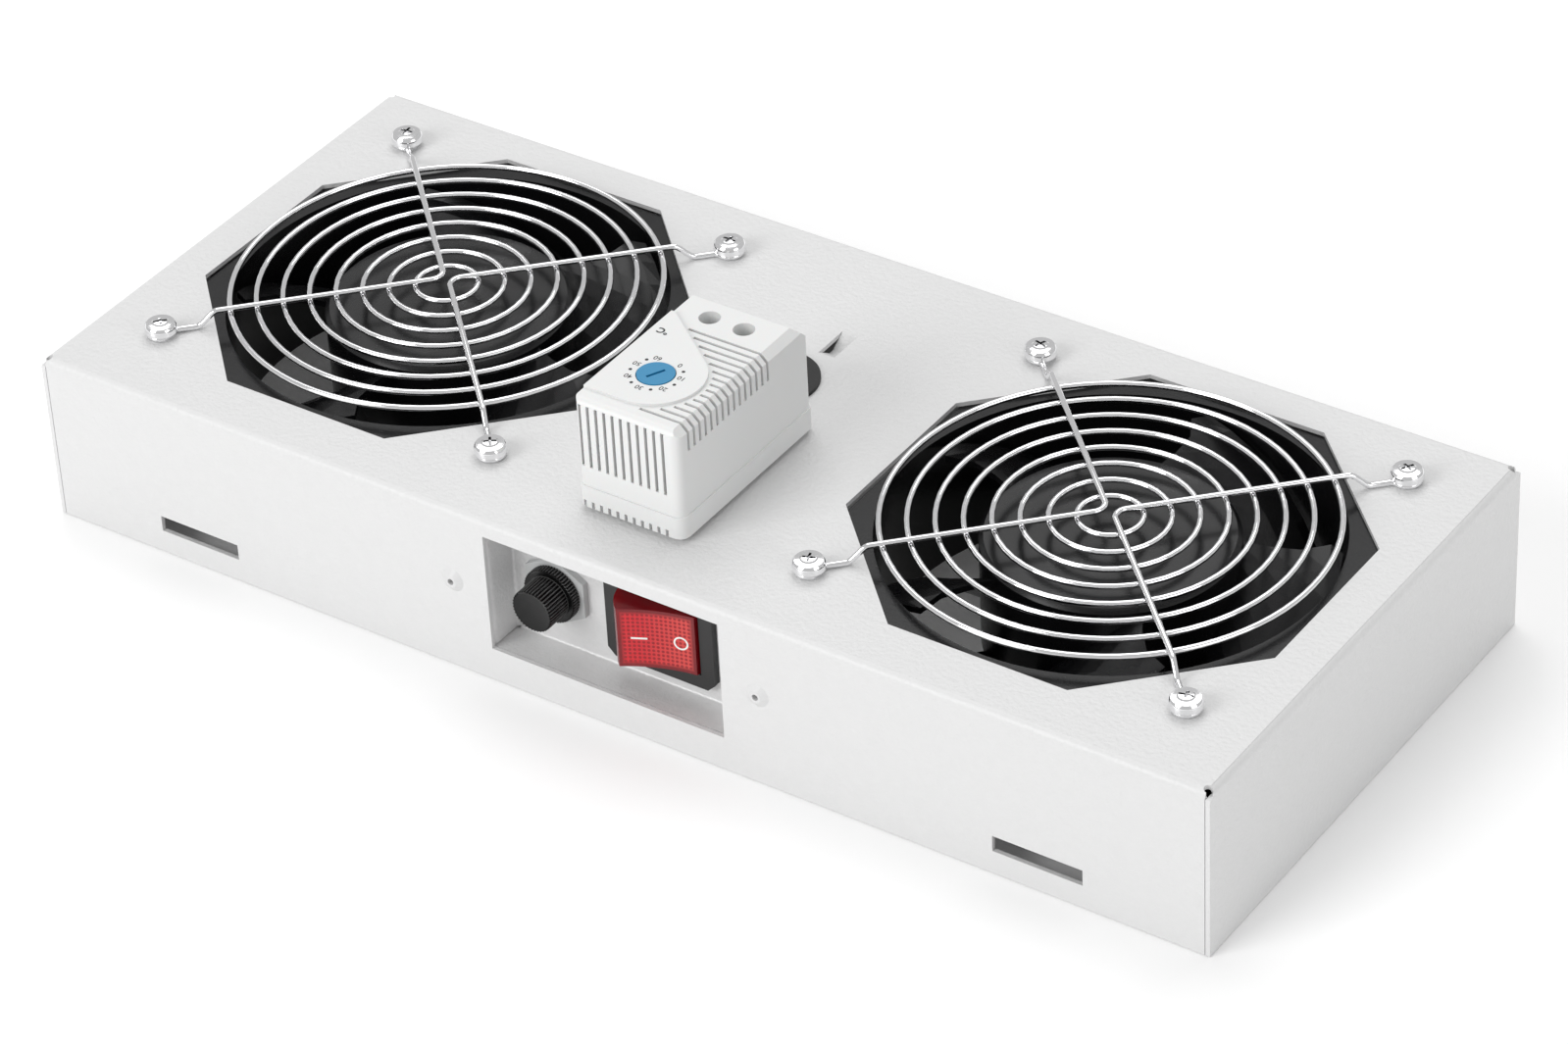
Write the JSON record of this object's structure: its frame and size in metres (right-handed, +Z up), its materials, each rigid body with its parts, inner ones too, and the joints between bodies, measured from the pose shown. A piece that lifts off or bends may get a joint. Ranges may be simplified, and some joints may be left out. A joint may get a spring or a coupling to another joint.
{
  "type": "rack fan tray",
  "caption": "Sheet-metal rack cooling tray with axial fans under wire guards, a dial thermostat on top and a recessed fuse holder and rocker switch in front.",
  "frame": {"origin": "middle of the open bottom rim of the tray, the rim lying in z = 0", "axes": "+Z up through the top plate, +X along the tray to its right end, -Y out of the front with the control bay"},
  "size_m": [0.346, 0.151, 0.0824],
  "materials": {
    "powder_coat": "fine orange-peel satin",
    "zinc_steel": "bright zinc",
    "fan_black": "satin black",
    "blade_black": "satin",
    "shaft_steel": "ground",
    "lamination": "dull",
    "winding": "enamelled copper",
    "bronze": "oiled",
    "chrome_wire": "bright",
    "white_plastic": "fine satin",
    "dial_blue": "satin",
    "brass": "bright",
    "black_plastic": "satin",
    "grey_plastic": "satin",
    "nickel": "bright",
    "glass": "clear",
    "rocker_red": "translucent gloss",
    "rubber": "matte"
  },
  "bodies": {
    "chassis": {"tray": "powder_coat", "control_bracket": "powder_coat", "bracket_rivets": "powder_coat", "fan_frames": "fan_black", "stator_cores": "lamination", "stator_coils": "winding", "fan_bearings": "bronze", "finger_guards": "chrome_wire", "guard_screws": "chrome_wire", "guard_nuts": "zinc_steel", "thermostat_cover": "white_plastic", "thermostat_base": "white_plastic", "bimetal_strip": "shaft_steel", "thermostat_terminals": "brass", "thermostat_screws": "zinc_steel", "fuse_holder_body": "black_plastic", "fuse_terminals": "nickel", "fuse_holder_nut": "grey_plastic", "switch_housing": "black_plastic", "switch_terminals": "nickel", "neon_lamp": "glass", "lead_grommet": "rubber", "inlet_grommet": "rubber", "terminal_block": "white_plastic", "block_sleeves": "brass", "block_screws": "zinc_steel", "earth_stud": "zinc_steel", "earth_nut": "zinc_steel"},
    "rotor_left": {"impeller_left": "blade_black", "rotor_shaft_left": "shaft_steel"},
    "rotor_right": {"impeller_right": "blade_black", "rotor_shaft_right": "shaft_steel"},
    "rocker": {"switch_rocker": "rocker_red"},
    "dial": {"thermostat_dial": "dial_blue"},
    "carrier": {"fuse_carrier": "brass", "fuse_glass": "glass", "fuse_end_caps": "nickel"},
    "cap": {"fuse_cap": "black_plastic"}
  },
  "joints": [
    {"name": "fan_left_spin", "type": "hinge", "parent": "chassis", "child": "rotor_left", "pos_m": [-0.09999, 0.002, 0.03], "axis": [0, 0, 1], "continuous": true},
    {"name": "fan_right_spin", "type": "hinge", "parent": "chassis", "child": "rotor_right", "pos_m": [0.09999, 0.002, 0.03], "axis": [0, 0, 1], "continuous": true},
    {"name": "rocker_tilt", "type": "hinge", "parent": "chassis", "child": "rocker", "pos_m": [0.0123, -0.0636, 0.0269], "axis": [0, 0, -1], "range_deg": [0, 40]},
    {"name": "dial_turn", "type": "hinge", "parent": "chassis", "child": "dial", "pos_m": [-0.0029, -0.0396, 0.08], "axis": [0, 0, -1], "range_deg": [0, 300]},
    {"name": "fuse_pull", "type": "slide", "parent": "chassis", "child": "carrier", "axis": [0, -1, 0], "range_m": [0, 0.032]},
    {"name": "fuse_cap_turn", "type": "hinge", "parent": "carrier", "child": "cap", "pos_m": [-0.019, -0.07, 0.0269], "axis": [0, -1, 0], "range_deg": [-90, 0]}
  ]
}
